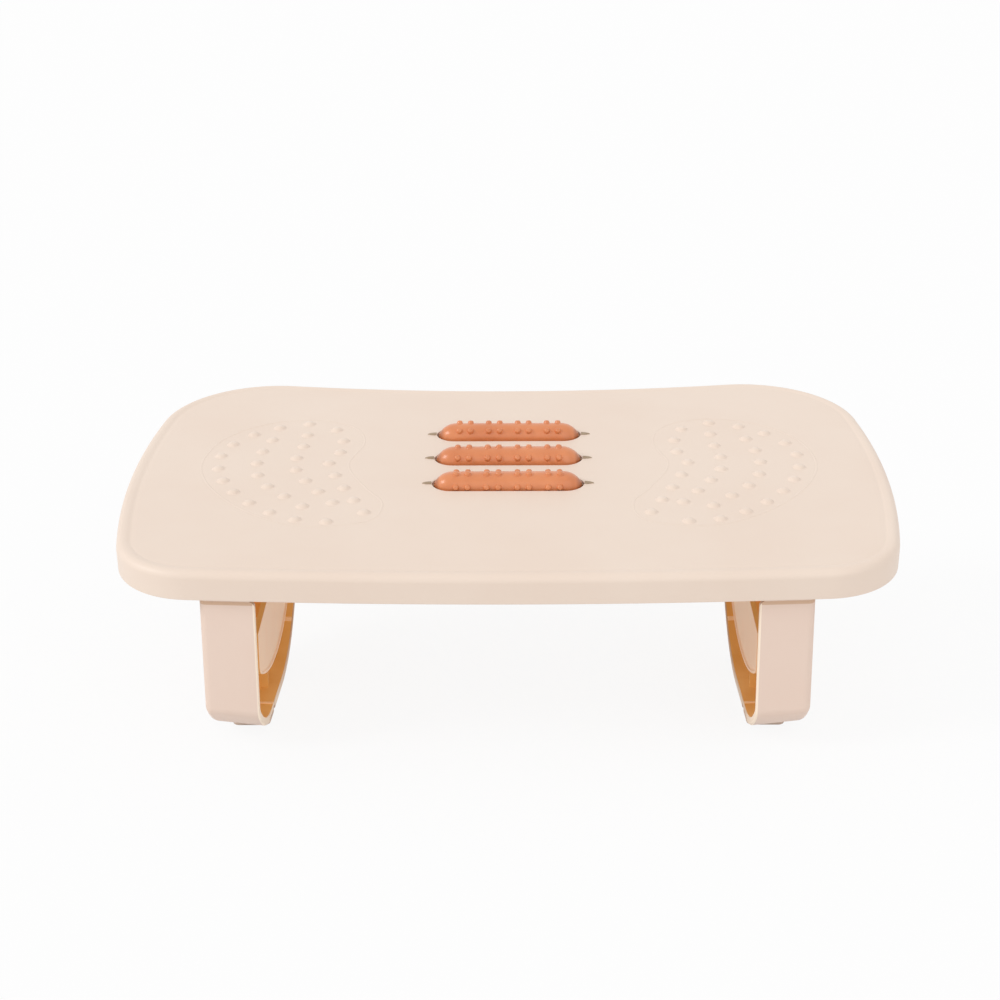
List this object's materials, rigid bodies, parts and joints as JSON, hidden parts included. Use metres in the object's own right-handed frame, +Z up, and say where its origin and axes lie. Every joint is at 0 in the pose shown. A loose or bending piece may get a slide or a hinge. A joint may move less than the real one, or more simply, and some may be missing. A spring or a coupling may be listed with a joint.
{
  "type": "under-desk footrest",
  "caption": "Sloping under-desk footrest: a moulded deck with spinning studded massage rollers and fields of low massage bumps, on U-shaped legs that fold flat under it",
  "frame": {"origin": "on the floor, under the middle of the footrest's bounding box", "axes": "+X to the user's right across the footrest, +Y away from the user to the raised back edge, +Z up"},
  "size_m": [0.3746, 0.2288, 0.12],
  "materials": {
    "peach_plastic": "fine satin, injection moulded",
    "terracotta_plastic": "polished, injection moulded",
    "white_inner_plastic": "plain moulded",
    "pale_rubber": "matte moulded rubber",
    "bright_steel": "bright zinc-plated or drawn wire"
  },
  "bodies": {
    "deck": {"top_deck": "peach_plastic", "roller_tray": "white_inner_plastic", "tray_screw_1": "bright_steel", "tray_screw_2": "bright_steel", "tray_screw_3": "bright_steel", "tray_screw_4": "bright_steel", "roller_pin_front": "bright_steel", "roller_pin_middle": "bright_steel", "roller_pin_back": "bright_steel", "leg_bracket_left": "white_inner_plastic", "leg_bracket_right": "white_inner_plastic", "bracket_screw_left_1": "bright_steel", "bracket_screw_left_2": "bright_steel", "bracket_screw_left_3": "bright_steel", "bracket_screw_right_1": "bright_steel", "bracket_screw_right_2": "bright_steel", "bracket_screw_right_3": "bright_steel"},
    "front_roller": {"roller_front": "terracotta_plastic"},
    "middle_roller": {"roller_middle": "terracotta_plastic"},
    "back_roller": {"roller_back": "terracotta_plastic"},
    "left_leg": {"leg_left": "peach_plastic", "leg_cover_left": "peach_plastic", "cover_screw_left_1": "bright_steel", "cover_screw_left_2": "bright_steel", "hinge_pin_left": "bright_steel", "hinge_clip_left": "bright_steel", "foot_left_front": "pale_rubber", "foot_left_rear": "pale_rubber"},
    "right_leg": {"leg_right": "peach_plastic", "leg_cover_right": "peach_plastic", "cover_screw_right_1": "bright_steel", "cover_screw_right_2": "bright_steel", "hinge_pin_right": "bright_steel", "hinge_clip_right": "bright_steel", "foot_right_front": "pale_rubber", "foot_right_rear": "pale_rubber"}
  },
  "joints": [
    {"name": "front_roller_spin", "type": "hinge", "parent": "deck", "child": "front_roller", "pos_m": [0, -0.01692, 0.10071], "axis": [1, 0, 0], "continuous": true},
    {"name": "middle_roller_spin", "type": "hinge", "parent": "deck", "child": "middle_roller", "pos_m": [0, 0.01299, 0.10491], "axis": [1, 0, 0], "continuous": true},
    {"name": "back_roller_spin", "type": "hinge", "parent": "deck", "child": "back_roller", "pos_m": [0, 0.0429, 0.10912], "axis": [1, 0, 0], "continuous": true},
    {"name": "left_leg_fold", "type": "hinge", "parent": "deck", "child": "left_leg", "pos_m": [-0.1175, -0.02536, 0.08185], "axis": [0, -0.9903, -0.1392], "range_deg": [0, 90]},
    {"name": "right_leg_fold", "type": "hinge", "parent": "deck", "child": "right_leg", "pos_m": [0.1175, -0.02536, 0.08185], "axis": [0, 0.9903, 0.1392], "range_deg": [0, 90]}
  ]
}
